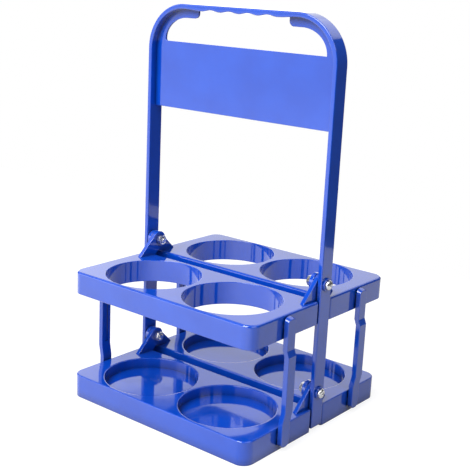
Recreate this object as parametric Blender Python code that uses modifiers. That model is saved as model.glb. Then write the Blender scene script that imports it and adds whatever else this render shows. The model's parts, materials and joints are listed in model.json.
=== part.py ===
"""Folding bottle carrier: a tall handle frame with two tiers of hinged shelf halves.

Each tier is two equal mouldings that hinge on bolts through the frame's legs. Four outer
struts tie an upper half to the tray half under it, so that the pair folds up together,
flat against the frame. Metres, +Z up, origin on the floor under the middle of the frame.
"""

import math

import bmesh
import bpy
from mathutils import Matrix, Vector

# Bottle holes and the shelf half around them
HOLE_RADIUS = 0.0420
HOLE_WEB = 0.0044            # between the two holes of one half
SIDE_MARGIN = 0.0138         # from a hole to the short side wall's face
FRONT_MARGIN = 0.0029        # from a hole to the long outer wall's face
MIDDLE_MARGIN = 0.0044       # from a hole to the edge at the middle gap
MIDDLE_GAP = 0.0124          # between the two halves of a tier
OUTER_CORNER_RADIUS = 0.0105
WALL_END_RADIUS = 0.0025     # where a side wall ends at the leg
WALL = 0.0022
RING_WALL = 0.0025
ROOF = 0.0022                # top plate of a half, and the floor of a cup
CUP_DEPTH = 0.0090           # from the top of a tray down to the floor of a cup
FOOT_RADIUS = 0.0080         # round foot under the middle of a cup
TIE_WIDTH = 0.012            # solid ties where a ring meets a wall or the other ring
UPPER_DEPTH = 0.0200
LOWER_DEPTH = 0.0210
UPPER_EDGE_ROUND = 0.0020
LOWER_EDGE_ROUND = 0.0011
RIM_ROUND = 0.0007           # edge of a bottle hole

# Tiers and hinges
TIER_SPACING = 0.0960
PIVOT_RISE = 0.0130          # hinge axis above the top of its tier
LUG_THICKNESS = 0.0040
LUG_HEAD_RADIUS = 0.0078
LUG_BASE = 0.0188            # length of a lug's foot along the shelf
LUG_GAP = 0.0003             # between a lug and its neighbour on the bolt
LUG_SINK = 0.0010            # how far a lug's foot reaches into the roof

# Handle frame
FRAME_HEIGHT = 0.3466
FOOT_CLEARANCE = 0.0026      # legs end just above the floor
LEG_THICKNESS = 0.00415
LEG_WIDTH = 0.0153
LEG_PROUD = 0.0005           # leg's outer face beyond the side walls
LEG_CLEARANCE = 0.0005       # between a leg and the walls that stop on it
FRAME_CORNER_RADIUS = 0.0400
FRAME_EDGE_ROUND = 0.0006
BAR_THICKNESS = 0.0046
HAND_HEIGHT = 0.0281         # from the panel up to the bar
PANEL_HEIGHT = 0.0585
WEB_THICKNESS = 0.0020       # panel and ears
BAR_CLEAR_WIDTH = 0.0960     # bar between the two ears
EAR_DEPTH = 0.0073
EAR_END_RADIUS = 0.0045
EAR_ARC_RADIUS = 0.0250
EAR_SIDE_MARGIN = 0.0105     # web left between the hand opening and a leg
EAR_FOOT_RADIUS = 0.0020
FINGER_PITCH = 0.0200
FINGER_COUNT = 4
FINGER_DEPTH = 0.0013        # crest to trough under the bar
WEB_SINK = 0.0012            # how far the web reaches into the frame

# Bolts and nuts
BOLT_RADIUS = 0.0025
BOLT_CLEARANCE = 0.00025
BOLT_HEAD_RADIUS = 0.00425
BOLT_HEAD_HEIGHT = 0.0028
BOLT_TAIL = 0.0014           # thread end beyond the nut
CROSS_LENGTH = 0.0046
CROSS_WIDTH = 0.0010
CROSS_DEPTH = 0.0013
BOSS_RADIUS = 0.0057
BOSS_HEIGHT = 0.0016
NUT_ACROSS_FLATS = 0.0080
NUT_THICKNESS = 0.0044
NUT_CHAMFER = 0.0005
SEAT_GAP = 0.0003            # between parts that rest on each other

# Struts
STRUT_WIDTH = 0.0104
STRUT_THICKNESS = 0.0046
STRUT_STANDOFF = 0.0010      # from the side wall to a strut's flat end
STRUT_BOW = 0.0020           # how far the middle stands out from the ends
STRUT_TOP = 0.0082           # above the upper stud
STRUT_BOTTOM = 0.0074        # below the lower stud
STRUT_END_RADIUS = 0.0030
UPPER_STEP_DROP = 0.0194     # from the upper stud down to its step
UPPER_STEP_HEIGHT = 0.0050
LOWER_STEP_RISE = 0.0134     # from the lower stud up to its step
LOWER_STEP_HEIGHT = 0.0105
GROOVE_WIDTH = 0.0036
GROOVE_DEPTH = 0.0009
STUD_DROP = 0.0094           # stud axis below the top of a tier
STUD_RADIUS = 0.0030
STUD_CLEARANCE = 0.00025
STUD_LIP = 0.0008            # snap lip behind the wall, all round
STUD_LIP_LENGTH = 0.0018
STUD_COLLAR_RADIUS = 0.0046

# Roundness
HOLE_STEPS = 48
RING_STEPS = 40              # hidden outer side of a ring
SMALL_STEPS = 16
CORNER_STEPS = 4
SMOOTH_ANGLE = math.radians(30)
WELD = 0.00001

# Places that follow
half_length = HOLE_WEB / 2 + 2 * HOLE_RADIUS + SIDE_MARGIN
half_depth = MIDDLE_GAP / 2 + MIDDLE_MARGIN + 2 * HOLE_RADIUS + FRONT_MARGIN
hole_x = HOLE_WEB / 2 + HOLE_RADIUS
hole_y = MIDDLE_GAP / 2 + MIDDLE_MARGIN + HOLE_RADIUS
lower_top = LOWER_DEPTH
upper_top = lower_top + TIER_SPACING
lower_pivot = lower_top + PIVOT_RISE
upper_pivot = upper_top + PIVOT_RISE
leg_outer = half_length + LEG_PROUD
leg_inner = leg_outer - LEG_THICKNESS
lug_outer_x = leg_inner - LUG_GAP - LUG_THICKNESS / 2
lug_inner_x = lug_outer_x - LUG_GAP - LUG_THICKNESS
nut_face = lug_inner_x - LUG_THICKNESS / 2 - SEAT_GAP
bar_underside = FRAME_HEIGHT - BAR_THICKNESS
panel_top = bar_underside - HAND_HEIGHT
panel_bottom = panel_top - PANEL_HEIGHT
stud_reach = PIVOT_RISE + STUD_DROP

BLUE = (0.030, 0.085, 0.560)
CHROME = (0.78, 0.78, 0.80)


def clear_scene():
    for thing in list(bpy.data.objects):
        bpy.data.objects.remove(thing, do_unlink=True)


def make_collection(name):
    group = bpy.data.collections.new(name)
    bpy.context.scene.collection.children.link(group)
    return group


def make_material(name, color, roughness, metallic):
    material = bpy.data.materials.new(name)
    material.use_nodes = True
    shader = material.node_tree.nodes["Principled BSDF"]
    shader.inputs["Base Color"].default_value = (*color, 1.0)
    shader.inputs["Roughness"].default_value = roughness
    shader.inputs["Metallic"].default_value = metallic
    return material


def add_object(name, mesh, group):
    thing = bpy.data.objects.new(name, mesh)
    group.objects.link(thing)
    return thing


def evaluated_mesh(thing):
    """Mesh of an object with its modifiers, or of a curve, as the viewport shows it."""
    bpy.context.view_layer.update()
    depsgraph = bpy.context.evaluated_depsgraph_get()
    return bpy.data.meshes.new_from_object(thing.evaluated_get(depsgraph))


def arc(center, radius, start, end, steps=CORNER_STEPS):
    """Points on an arc from start to end, both in degrees."""
    points = []
    for step in range(steps + 1):
        angle = math.radians(start + (end - start) * step / steps)
        points.append((center[0] + radius * math.cos(angle), center[1] + radius * math.sin(angle)))
    return points


def rounded(corners):
    """Points of a closed outline whose corners are (x, y, radius)."""
    points = []
    count = len(corners)
    for index, (x, y, radius) in enumerate(corners):
        here = Vector((x, y))
        if radius < WELD:
            points.append((x, y))
            continue
        back = (Vector(corners[index - 1][:2]) - here).normalized()
        ahead = (Vector(corners[(index + 1) % count][:2]) - here).normalized()
        half_angle = back.angle(ahead) / 2
        center = here + (back + ahead).normalized() * radius / math.sin(half_angle)
        reach = radius / math.tan(half_angle)
        start = here + back * reach - center
        end = here + ahead * reach - center
        first = math.atan2(start.y, start.x)
        turn = (math.atan2(end.y, end.x) - first + math.pi) % (2 * math.pi) - math.pi
        for step in range(CORNER_STEPS + 1):
            angle = first + turn * step / CORNER_STEPS
            points.append((center.x + radius * math.cos(angle), center.y + radius * math.sin(angle)))
    return points


def outline_mesh(points, thickness, matrix=Matrix.Identity(4)):
    """Flat slab from a closed outline, centred on its plane, with one face on each side."""
    curve = bpy.data.curves.new("outline", "CURVE")
    curve.dimensions = "2D"
    curve.fill_mode = "NONE"
    curve.extrude = thickness / 2
    spline = curve.splines.new("POLY")
    spline.points.add(len(points) - 1)
    for point, place in zip(spline.points, points):
        point.co = (place[0], place[1], 0.0, 1.0)
    spline.use_cyclic_u = True
    holder = add_object("outline", curve, bpy.context.scene.collection)
    mesh = evaluated_mesh(holder)
    bpy.data.objects.remove(holder, do_unlink=True)
    bpy.data.curves.remove(curve)
    slab = bmesh.new()
    slab.from_mesh(mesh)
    bmesh.ops.remove_doubles(slab, verts=slab.verts, dist=WELD)
    bmesh.ops.holes_fill(slab, edges=slab.edges, sides=0)
    bmesh.ops.recalc_face_normals(slab, faces=slab.faces)
    bmesh.ops.transform(slab, matrix=matrix, verts=slab.verts)
    slab.to_mesh(mesh)
    slab.free()
    return mesh


def round_rim(mesh, height, radius, segments=3):
    """Round the edges that lie at one height."""
    body = bmesh.new()
    body.from_mesh(mesh)
    rim = [edge for edge in body.edges if all(abs(v.co.z - height) < WELD for v in edge.verts)]
    bmesh.ops.bevel(body, geom=rim, offset=radius, segments=segments, profile=0.5, affect="EDGES")
    body.to_mesh(mesh)
    body.free()
    return mesh


def box_mesh(low, high):
    body = bmesh.new()
    bmesh.ops.create_cube(body, size=1.0)
    size = Vector(high) - Vector(low)
    bmesh.ops.scale(body, vec=size, verts=body.verts)
    bmesh.ops.translate(body, vec=(Vector(low) + Vector(high)) / 2, verts=body.verts)
    mesh = bpy.data.meshes.new("box")
    body.to_mesh(mesh)
    body.free()
    return mesh


def rod_mesh(start, end, radius, steps=SMALL_STEPS):
    """Plain cylinder between two points."""
    axis = Vector(end) - Vector(start)
    body = bmesh.new()
    bmesh.ops.create_cone(
        body, cap_ends=True, segments=steps, radius1=radius, radius2=radius, depth=axis.length
    )
    turn = axis.to_track_quat("Z", "Y").to_matrix().to_4x4()
    place = Matrix.Translation((Vector(start) + Vector(end)) / 2) @ turn
    bmesh.ops.transform(body, matrix=place, verts=body.verts)
    mesh = bpy.data.meshes.new("rod")
    body.to_mesh(mesh)
    body.free()
    return mesh


def turned_mesh(profile, steps=SMALL_STEPS):
    """Solid of revolution about Z: the profile runs down the outer side, top to bottom."""
    line = bmesh.new()
    verts = [line.verts.new((radius, 0.0, height)) for radius, height in profile]
    for first, second in zip(verts, verts[1:]):
        line.edges.new((first, second))
    mesh = bpy.data.meshes.new("turned")
    line.to_mesh(mesh)
    line.free()
    holder = add_object("turned", mesh, bpy.context.scene.collection)
    screw = holder.modifiers.new("turn", "SCREW")
    screw.steps = steps
    screw.render_steps = steps
    screw.use_merge_vertices = True
    screw.merge_threshold = WELD
    solid = evaluated_mesh(holder)
    bpy.data.objects.remove(holder, do_unlink=True)
    return solid


def moved(mesh, matrix):
    copy = mesh.copy()
    copy.transform(matrix)
    return copy


def combine(mesh, others, operation):
    """Boolean of one mesh with each of the others in turn."""
    base = add_object("base", mesh, parts)
    for number, other in enumerate(others):
        tool = add_object("cutter", other, cutters)
        tool.hide_render = True
        tool.display_type = "WIRE"
        step = base.modifiers.new(f"{operation.lower()}_{number}", "BOOLEAN")
        step.operation = operation
        step.object = tool
    result = evaluated_mesh(base)
    bpy.data.objects.remove(base, do_unlink=True)
    for tool in list(cutters.objects):
        bpy.data.objects.remove(tool, do_unlink=True)
    return result


def finish(mesh, name, material):
    """Weld, name and shade a finished mesh."""
    body = bmesh.new()
    body.from_mesh(mesh)
    bmesh.ops.remove_doubles(body, verts=body.verts, dist=WELD)
    body.to_mesh(mesh)
    body.free()
    mesh.name = name
    mesh.materials.clear()
    mesh.materials.append(material)
    mesh.shade_smooth()
    mesh.set_sharp_from_angle(angle=SMOOTH_ANGLE)
    return mesh


def place_part(name, mesh, location, turn=0.0):
    thing = add_object(name, mesh, parts)
    thing.location = location
    thing.rotation_euler = (0.0, 0.0, turn)
    return thing


def half_outline(inset=0.0):
    """A shelf half in plan: it lies towards -Y, notched round the legs at its inner corners."""
    side = half_length - inset
    front = -(half_depth - inset)
    notch_x = leg_inner - LEG_CLEARANCE - inset
    notch_y = -(LEG_WIDTH / 2 + LEG_CLEARANCE + inset)
    inner = -(MIDDLE_GAP / 2 + inset)
    corner = max(OUTER_CORNER_RADIUS - inset, WELD)
    wall_end = max(WALL_END_RADIUS - inset, 0.0)
    right = [
        (side, front, corner),
        (side, notch_y, wall_end),
        (notch_x, notch_y, 0.0),
        (notch_x, inner, 0.0),
    ]
    left = [(-x, y, radius) for x, y, radius in reversed(right)]
    return rounded(right + left)


def slab_between(points, bottom, top):
    return outline_mesh(points, top - bottom, Matrix.Translation((0.0, 0.0, (top + bottom) / 2)))


def hole_cutter(top, bottom):
    """Round cutter whose mouth flares by the rim's rounding and on through the top face."""
    steps = 2
    flare = []
    for step in range(steps + 1):
        angle = math.radians(90.0 * step / steps)
        radius = HOLE_RADIUS + RIM_ROUND * (1.0 - math.sin(angle))
        flare.append(Vector((radius, top - RIM_ROUND * (1.0 - math.cos(angle)))))
    mouth = 2 * flare[0] - flare[1]
    profile = [(0.0, top + WALL), (mouth.x, top + WALL), mouth] + flare[1:]
    profile += [(HOLE_RADIUS, bottom), (0.0, bottom)]
    return turned_mesh(profile, HOLE_STEPS)


def underside_cutter(bottom, roof):
    """Cutter for the space under a cup, open below, that leaves a foot in the middle."""
    start = bottom - WALL
    drum = rod_mesh((0.0, 0.0, start), (0.0, 0.0, roof), HOLE_RADIUS, RING_STEPS)
    foot = rod_mesh((0.0, 0.0, start - WALL), (0.0, 0.0, roof + WALL), FOOT_RADIUS)
    return combine(drum, [foot], "DIFFERENCE")


def lug_outline():
    """Side view of a lug: the pivot is the origin, X runs along the shelf's depth."""
    foot_far = -(MIDDLE_GAP / 2 + LUG_BASE)
    foot_near = -MIDDLE_GAP / 2
    height = -PIVOT_RISE
    points = [(foot_far, height - LUG_SINK), (foot_far, height)]
    start = tangent_angle(foot_far, height, +1)
    end = tangent_angle(foot_near, height, -1)
    sweep = (start - end) % 360.0
    points += arc((0.0, 0.0), LUG_HEAD_RADIUS, start, start - sweep, 12)
    points += [(foot_near, height), (foot_near, height - LUG_SINK)]
    return points


def tangent_angle(x, y, side):
    """Angle in degrees of the point where a line from (x, y) touches the lug's head."""
    distance = math.hypot(x, y)
    opening = math.degrees(math.acos(LUG_HEAD_RADIUS / distance))
    return math.degrees(math.atan2(y, x)) - side * opening


def lug_mesh(center_x):
    """Lug across the hinge axis, in the half's own space."""
    upright = Matrix(((0, 0, 1, center_x), (1, 0, 0, 0), (0, 1, 0, 0), (0, 0, 0, 1)))
    return outline_mesh(lug_outline(), LUG_THICKNESS, upright)


def shelf_half(depth, edge_round, has_floor):
    """One half of a tier, with its hinge axis at the origin."""
    top = -PIVOT_RISE
    bottom = top - depth
    shell = round_rim(slab_between(half_outline(), bottom, top), top, edge_round)

    hollow = slab_between(half_outline(WALL), bottom - WALL, top - ROOF)
    island_top = top - ROOF + WALL
    island_radius = HOLE_RADIUS + RING_WALL
    centers = [(-hole_x, -hole_y), (hole_x, -hole_y)]
    islands = [
        rod_mesh((x, y, bottom - 2 * WALL), (x, y, island_top), island_radius, RING_STEPS)
        for x, y in centers
    ]
    ties = [
        box_mesh(
            (x - TIE_WIDTH / 2, -half_depth, bottom - 2 * WALL),
            (x + TIE_WIDTH / 2, 0.0, island_top),
        )
        for x, y in centers
    ]
    web = box_mesh(
        (-hole_x, -hole_y - TIE_WIDTH / 2, bottom - 2 * WALL),
        (hole_x, -hole_y + TIE_WIDTH / 2, island_top),
    )
    hollow = combine(hollow, islands + ties + [web], "DIFFERENCE")
    shell = combine(shell, [hollow], "DIFFERENCE")

    shell = combine(shell, [lug_mesh(lug_outer_x), lug_mesh(-lug_inner_x)], "UNION")

    hole_bottom = top - CUP_DEPTH if has_floor else bottom - WALL
    cutters_at_center = [hole_cutter(top, hole_bottom)]
    if has_floor:
        cutters_at_center.append(underside_cutter(bottom, hole_bottom - ROOF))
    cuts = [
        moved(cutter, Matrix.Translation((x, y, 0.0))) for cutter in cutters_at_center for x, y in centers
    ]
    bolt_hole = BOLT_RADIUS + BOLT_CLEARANCE
    stud_hole = STUD_RADIUS + STUD_CLEARANCE
    for side in (-1, 1):
        cuts.append(rod_mesh((side * nut_face, 0, 0), (side * leg_outer, 0, 0), bolt_hole))
        inside = side * (half_length - 2 * WALL)
        outside = side * (half_length + WALL)
        cuts.append(rod_mesh((inside, -hole_y, -stud_reach), (outside, -hole_y, -stud_reach), stud_hole))
    return combine(shell, cuts, "DIFFERENCE")


def frame_outline():
    """Front view of the leg and bar strip, X across and Y up."""
    corner_x = leg_outer - FRAME_CORNER_RADIUS
    corner_z = FRAME_HEIGHT - FRAME_CORNER_RADIUS
    inner_radius = FRAME_CORNER_RADIUS - LEG_THICKNESS
    outer_arc = arc((corner_x, corner_z), FRAME_CORNER_RADIUS, 0, 90, 14)
    inner_arc = arc((corner_x, corner_z), inner_radius, 90, 0, 14)
    right_out = [(leg_outer, FOOT_CLEARANCE)] + outer_arc
    right_in = inner_arc[1:] + [(leg_inner, FOOT_CLEARANCE)]
    left_out = [(-x, z) for x, z in reversed(right_out)]
    left_in = [(-x, z) for x, z in reversed(right_in)]
    return right_out + left_out + left_in + finger_line() + right_in


def finger_line():
    """Underside of the bar from left to right: a wave with one trough for each finger."""
    wave_end = FINGER_COUNT / 2 * FINGER_PITCH
    steps = FINGER_COUNT * 7
    points = []
    for step in range(steps + 1):
        x = -wave_end + 2 * wave_end * step / steps
        crest = FINGER_DEPTH / 2 * math.cos(2 * math.pi * (x + wave_end) / FINGER_PITCH)
        points.append((x, bar_underside - crest))
    return points


def web_outline():
    """Front view of the panel with the two ears round the hand opening."""
    corner_x = leg_outer - FRAME_CORNER_RADIUS
    corner_z = FRAME_HEIGHT - FRAME_CORNER_RADIUS
    side = leg_inner + WEB_SINK
    hidden_radius = FRAME_CORNER_RADIUS - LEG_THICKNESS + WEB_SINK
    ear_x = BAR_CLEAR_WIDTH / 2
    ear_z = bar_underside - EAR_DEPTH
    opening_x = leg_inner - EAR_SIDE_MARGIN
    arc_x = opening_x - EAR_ARC_RADIUS
    arc_z = ear_z - EAR_ARC_RADIUS
    foot_angle = math.degrees(math.asin(min(0.9, (panel_top - arc_z) / EAR_ARC_RADIUS)))
    foot_x = arc_x + EAR_ARC_RADIUS * math.cos(math.radians(foot_angle))
    arc_steps = 7
    right = [(side, panel_bottom, 0.0)]
    right += [(x, z, 0.0) for x, z in arc((corner_x, corner_z), hidden_radius, 0, 90, 10)]
    right += [(ear_x, FRAME_HEIGHT - LEG_THICKNESS + WEB_SINK, 0.0), (ear_x, ear_z, EAR_END_RADIUS)]
    right += [(x, z, 0.0) for x, z in arc((arc_x, arc_z), EAR_ARC_RADIUS, 90, foot_angle, arc_steps)][:-1]
    right += [(foot_x, panel_top, EAR_FOOT_RADIUS)]
    left = [(-x, z, radius) for x, z, radius in reversed(right)]
    return rounded(right + left)


def handle_frame_mesh():
    upright = Matrix.Rotation(math.radians(90), 4, "X")
    strip = outline_mesh(frame_outline(), LEG_WIDTH, upright)
    strip = soften(strip, FRAME_EDGE_ROUND)
    web = outline_mesh(web_outline(), WEB_THICKNESS, upright)
    bosses = []
    holes = []
    for side in (-1, 1):
        for height in (lower_pivot, upper_pivot):
            root = side * (leg_outer - LEG_THICKNESS / 2)
            face = side * (leg_outer + BOSS_HEIGHT)
            bosses.append(rod_mesh((root, 0, height), (face, 0, height), BOSS_RADIUS, 24))
            start = side * lug_outer_x
            end = side * (leg_outer + 2 * BOSS_HEIGHT)
            radius = BOLT_RADIUS + BOLT_CLEARANCE
            holes.append(rod_mesh((start, 0, height), (end, 0, height), radius))
    frame = combine(strip, [web] + bosses, "UNION")
    return combine(frame, holes, "DIFFERENCE")


def soften(mesh, width):
    """Small rounding on every sharp edge."""
    holder = add_object("soft", mesh, bpy.context.scene.collection)
    bevel = holder.modifiers.new("round", "BEVEL")
    bevel.width = width
    bevel.segments = 2
    bevel.limit_method = "ANGLE"
    bevel.angle_limit = math.radians(50)
    bevel.use_clamp_overlap = False
    result = evaluated_mesh(holder)
    bpy.data.objects.remove(holder, do_unlink=True)
    return result


def strut_profile():
    """Side view of a strut: X outward from the stud's end face, Y up from the upper stud."""
    inner = STRUT_STANDOFF
    bowed = inner + STRUT_BOW
    lower_stud = -TIER_SPACING
    upper_step = -UPPER_STEP_DROP
    lower_step = lower_stud + LOWER_STEP_RISE
    inside = [
        (inner, STRUT_TOP),
        (inner, upper_step),
        (bowed, upper_step - UPPER_STEP_HEIGHT),
        (bowed, lower_step + LOWER_STEP_HEIGHT),
        (inner, lower_step),
        (inner, lower_stud - STRUT_BOTTOM),
    ]
    outside = [(x + STRUT_THICKNESS, z) for x, z in reversed(inside)]
    return inside + outside


def strut_mesh():
    """Strut on the +X side: the origin is on the upper stud's axis at the side wall's face."""
    upright = Matrix.Rotation(math.radians(90), 4, "X")
    body = outline_mesh(strut_profile(), STRUT_WIDTH, upright)
    far = STRUT_STANDOFF + STRUT_BOW + STRUT_THICKNESS + WALL
    top = STRUT_TOP
    bottom = -TIER_SPACING - STRUT_BOTTOM
    half = STRUT_WIDTH / 2
    front = [
        (-half, bottom, STRUT_END_RADIUS),
        (half, bottom, STRUT_END_RADIUS),
        (half, top, STRUT_END_RADIUS),
        (-half, top, STRUT_END_RADIUS),
    ]
    along_x = Matrix(((0, 0, 1, far / 2), (1, 0, 0, 0), (0, 1, 0, 0), (0, 0, 0, 1)))
    body = combine(body, [outline_mesh(rounded(front), far + WALL, along_x)], "INTERSECT")
    bowed = STRUT_STANDOFF + STRUT_BOW
    groove_top = -UPPER_STEP_DROP - UPPER_STEP_HEIGHT
    groove_bottom = -TIER_SPACING + LOWER_STEP_RISE + LOWER_STEP_HEIGHT
    groove = box_mesh(
        (bowed - WALL, -GROOVE_WIDTH / 2, groove_bottom), (bowed + GROOVE_DEPTH, GROOVE_WIDTH / 2, groove_top)
    )
    body = combine(body, [groove], "DIFFERENCE")
    sideways = Matrix.Rotation(math.radians(90), 4, "Y")
    stud = moved(turned_mesh(stud_profile()), sideways)
    studs = [stud, moved(stud, Matrix.Translation((0.0, 0.0, -TIER_SPACING)))]
    return combine(body, studs, "UNION")


def stud_profile():
    """Stud with a collar outside the side wall and a snap lip inside it, tip downwards."""
    root = STRUT_STANDOFF + STRUT_THICKNESS / 2
    lip_top = -WALL - SEAT_GAP
    lip_radius = STUD_RADIUS + STUD_LIP
    return [
        (0.0, root),
        (STUD_COLLAR_RADIUS, root),
        (STUD_COLLAR_RADIUS, SEAT_GAP),
        (STUD_RADIUS, SEAT_GAP),
        (STUD_RADIUS, lip_top),
        (lip_radius, lip_top),
        (lip_radius, lip_top - STUD_LIP_LENGTH / 3),
        (STUD_RADIUS, lip_top - STUD_LIP_LENGTH),
        (0.0, lip_top - STUD_LIP_LENGTH),
    ]


def bolt_mesh():
    """Bolt on the +X side: head outside, axis along X, the origin in the middle plane."""
    seat = leg_outer + BOSS_HEIGHT + SEAT_GAP
    tip = nut_face - NUT_THICKNESS - BOLT_TAIL
    dome_steps = 4
    profile = []
    for step in range(dome_steps + 1):
        angle = math.radians(90.0 * step / dome_steps)
        radius = BOLT_HEAD_RADIUS * math.sin(angle)
        profile.append((radius, seat + BOLT_HEAD_HEIGHT * (0.35 + 0.65 * math.cos(angle))))
    profile += [
        (BOLT_HEAD_RADIUS, seat),
        (BOLT_RADIUS, seat),
        (BOLT_RADIUS, tip + BOLT_RADIUS / 4),
        (BOLT_RADIUS * 0.75, tip),
        (0.0, tip),
    ]
    crown = seat + BOLT_HEAD_HEIGHT
    recess = [
        box_mesh(
            (-CROSS_LENGTH / 2, -CROSS_WIDTH / 2, crown - CROSS_DEPTH),
            (CROSS_LENGTH / 2, CROSS_WIDTH / 2, crown + CROSS_DEPTH),
        ),
        box_mesh(
            (-CROSS_WIDTH / 2, -CROSS_LENGTH / 2, crown - CROSS_DEPTH),
            (CROSS_WIDTH / 2, CROSS_LENGTH / 2, crown + CROSS_DEPTH),
        ),
    ]
    upright = combine(turned_mesh(profile), recess, "DIFFERENCE")
    return moved(upright, Matrix.Rotation(math.radians(90), 4, "Y"))


def nut_mesh():
    """Hexagon nut on the +X side, against the inner lug."""
    corner_radius = NUT_ACROSS_FLATS / math.sqrt(3)
    prism = rod_mesh((nut_face - NUT_THICKNESS, 0, 0), (nut_face, 0, 0), corner_radius, 6)
    cone_profile = [
        (0.0, nut_face),
        (corner_radius - NUT_CHAMFER, nut_face),
        (corner_radius + NUT_CHAMFER, nut_face - 2 * NUT_CHAMFER * 0.58),
        (corner_radius + NUT_CHAMFER, nut_face - NUT_THICKNESS + 2 * NUT_CHAMFER * 0.58),
        (corner_radius - NUT_CHAMFER, nut_face - NUT_THICKNESS),
        (0.0, nut_face - NUT_THICKNESS),
    ]
    barrel = moved(turned_mesh(cone_profile), Matrix.Rotation(math.radians(90), 4, "Y"))
    body = combine(prism, [barrel], "INTERSECT")
    bore = rod_mesh(
        (nut_face - 2 * NUT_THICKNESS, 0, 0), (nut_face + NUT_THICKNESS, 0, 0), BOLT_RADIUS + SEAT_GAP
    )
    return combine(body, [bore], "DIFFERENCE")


clear_scene()
parts = make_collection("folding_bottle_carrier")
cutters = make_collection("cutters")

plastic = make_material("blue_plastic", BLUE, 0.12, 0.0)
chrome = make_material("chrome", CHROME, 0.12, 1.0)

frame = finish(handle_frame_mesh(), "handle_frame", plastic)
place_part("handle_frame", frame, (0.0, 0.0, 0.0))

upper_half = finish(shelf_half(UPPER_DEPTH, UPPER_EDGE_ROUND, False), "upper_shelf", plastic)
lower_half = finish(shelf_half(LOWER_DEPTH, LOWER_EDGE_ROUND, True), "lower_tray", plastic)
strut = finish(strut_mesh(), "strut", plastic)
bolt = finish(bolt_mesh(), "bolt", chrome)
nut = finish(nut_mesh(), "nut", chrome)

for row, turn in (("front", 0.0), ("rear", math.pi)):
    place_part(f"upper_shelf_{row}", upper_half, (0.0, 0.0, upper_pivot), turn)
    place_part(f"lower_tray_{row}", lower_half, (0.0, 0.0, lower_pivot), turn)

for column, side in (("left", -1), ("right", 1)):
    turn = 0.0 if side > 0 else math.pi
    for row, depth_side in (("front", -1), ("rear", 1)):
        stud = (side * half_length, depth_side * hole_y, upper_top - STUD_DROP)
        place_part(f"strut_{row}_{column}", strut, stud, turn)
    for level, height in (("upper", upper_pivot), ("lower", lower_pivot)):
        place_part(f"bolt_{level}_{column}", bolt, (0.0, 0.0, height), turn)
        place_part(f"nut_{level}_{column}", nut, (0.0, 0.0, height), turn)
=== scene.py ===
import json
import math

import bmesh
import bpy
from mathutils import Matrix, Vector

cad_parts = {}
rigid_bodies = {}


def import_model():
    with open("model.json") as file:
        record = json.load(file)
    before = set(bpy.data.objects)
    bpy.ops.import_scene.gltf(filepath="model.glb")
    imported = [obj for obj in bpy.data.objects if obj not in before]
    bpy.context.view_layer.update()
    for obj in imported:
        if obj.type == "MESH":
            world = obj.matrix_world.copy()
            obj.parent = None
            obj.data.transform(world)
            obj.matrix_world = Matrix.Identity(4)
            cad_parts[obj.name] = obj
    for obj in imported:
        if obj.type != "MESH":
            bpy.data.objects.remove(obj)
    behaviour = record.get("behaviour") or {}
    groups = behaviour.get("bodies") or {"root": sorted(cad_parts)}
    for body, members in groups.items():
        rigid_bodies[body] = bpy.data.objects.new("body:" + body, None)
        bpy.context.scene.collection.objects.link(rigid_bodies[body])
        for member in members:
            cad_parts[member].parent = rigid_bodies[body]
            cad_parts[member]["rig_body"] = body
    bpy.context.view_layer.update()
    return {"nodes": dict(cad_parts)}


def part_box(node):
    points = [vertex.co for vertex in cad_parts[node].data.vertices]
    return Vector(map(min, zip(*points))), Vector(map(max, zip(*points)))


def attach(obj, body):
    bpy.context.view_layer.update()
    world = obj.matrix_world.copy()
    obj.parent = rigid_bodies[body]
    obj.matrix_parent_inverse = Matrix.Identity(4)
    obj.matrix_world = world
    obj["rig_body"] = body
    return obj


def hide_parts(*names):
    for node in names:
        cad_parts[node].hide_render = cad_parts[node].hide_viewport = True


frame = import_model()
print("frame loaded,", len(frame["nodes"]), "nodes")

tiny = 0.00001
overshoot = 0.001             # how far a cutter reaches past what it cuts
sideways = Matrix.Rotation(math.radians(90), 4, "Y")    # a turned piece's axis from Z to X
upright = Matrix.Rotation(math.radians(90), 4, "X")     # a flat outline stands up, Y becomes Z


# shared modelling steps

def flatOutline(bm, corners, height=0.0):
    # corners are (x, y, cut back along the edges, steps); a vertex bevel rounds each of them
    verts = [bm.verts.new((corner[0], corner[1], height)) for corner in corners]
    bm.faces.new(verts)
    for vert, (_, _, cutBack, steps) in zip(verts, corners):
        if cutBack > tiny:
            bmesh.ops.bevel(bm, geom=[vert], offset=cutBack, offset_type="OFFSET", segments=steps,
                            profile=0.5, affect="VERTICES", clamp_overlap=False, material=-1)
    bm.faces.ensure_lookup_table()
    return bm.faces[:]


def facesOf(geometry):
    return [f for f in geometry if isinstance(f, bmesh.types.BMFace)]


def pushOut(bm, faces, move, keepBase=False):
    made = bmesh.ops.extrude_face_region(bm, geom=faces)["geom"]
    bmesh.ops.translate(bm, vec=move, verts=[v for v in made if isinstance(v, bmesh.types.BMVert)])
    if not keepBase:
        bmesh.ops.delete(bm, geom=faces, context="FACES_ONLY")
    return facesOf(made)


def bendOn(bm, faces, center, angle, steps):
    made = bmesh.ops.spin(bm, geom=faces, cent=center, axis=(0, 1, 0), angle=angle, steps=steps)
    bmesh.ops.delete(bm, geom=faces, context="FACES_ONLY")
    return facesOf(made["geom_last"])


def slab(corners, bottom, top):
    bm = bmesh.new()
    pushOut(bm, flatOutline(bm, corners, bottom), (0, 0, top - bottom), keepBase=True)
    bmesh.ops.recalc_face_normals(bm, faces=bm.faces)
    return bm


def softenEdges(bm, edges, width, steps=3):
    bmesh.ops.bevel(bm, geom=edges, offset=width, offset_type="OFFSET", segments=steps,
                    profile=0.5, affect="EDGES", clamp_overlap=False, material=-1)


def edgesAt(bm, height):
    return [e for e in bm.edges if all(abs(v.co.z - height) < tiny for v in e.verts)]


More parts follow.
